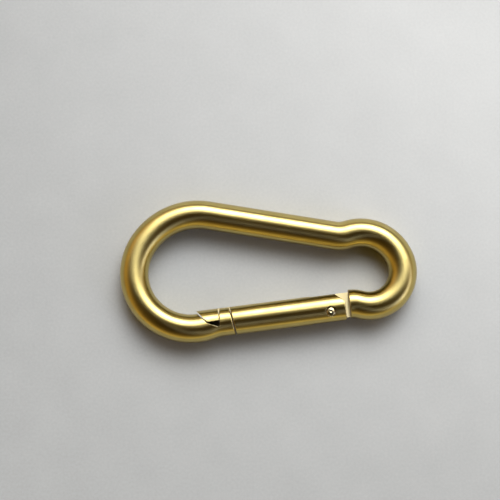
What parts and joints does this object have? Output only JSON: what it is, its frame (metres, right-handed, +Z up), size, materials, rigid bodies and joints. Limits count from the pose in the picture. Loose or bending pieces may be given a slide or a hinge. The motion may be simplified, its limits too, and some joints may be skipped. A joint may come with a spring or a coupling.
{
  "type": "snap hook carabiner",
  "caption": "Pear-shaped brass snap hook of bent round rod, with a small eye for a key ring and a sprung, latched gate that opens inwards.",
  "frame": {"origin": "middle of the outline, on the surface that the hook lies flat on", "axes": "+X from the large loop towards the small eye, +Y from the gate towards the back bar, +Z up through the rod's thickness"},
  "size_m": [0.0622, 0.03, 0.006],
  "materials": {
    "hook_brass": "polished",
    "gate_brass": "polished",
    "rivet_brass": "peened, bright",
    "plunger_brass": "turned, plain",
    "spring_steel": "bright drawn wire"
  },
  "bodies": {
    "hook": {"hook_body": "hook_brass"},
    "gate": {"gate": "gate_brass", "hinge_rivet": "rivet_brass", "return_spring": "spring_steel"},
    "plunger": {"plunger": "plunger_brass"}
  },
  "joints": [
    {"name": "gate_hinge", "type": "hinge", "parent": "hook", "child": "gate", "pos_m": [0.01282, -0.00899, 0.003], "axis": [0, 0, -1], "range_deg": [0, 35], "stiffness_Nm_per_rad": 0.01, "springref_deg": -34.38},
    {"name": "plunger_slide", "type": "slide", "parent": "gate", "child": "plunger", "axis": [-0.9941, -0.1089, 0], "range_m": [0, 0.00046], "deforming": ["return_spring"]}
  ],
  "couplings": [
    {"joint": "plunger_slide", "follows": "gate_hinge", "m_per_rad": 0.00075}
  ]
}
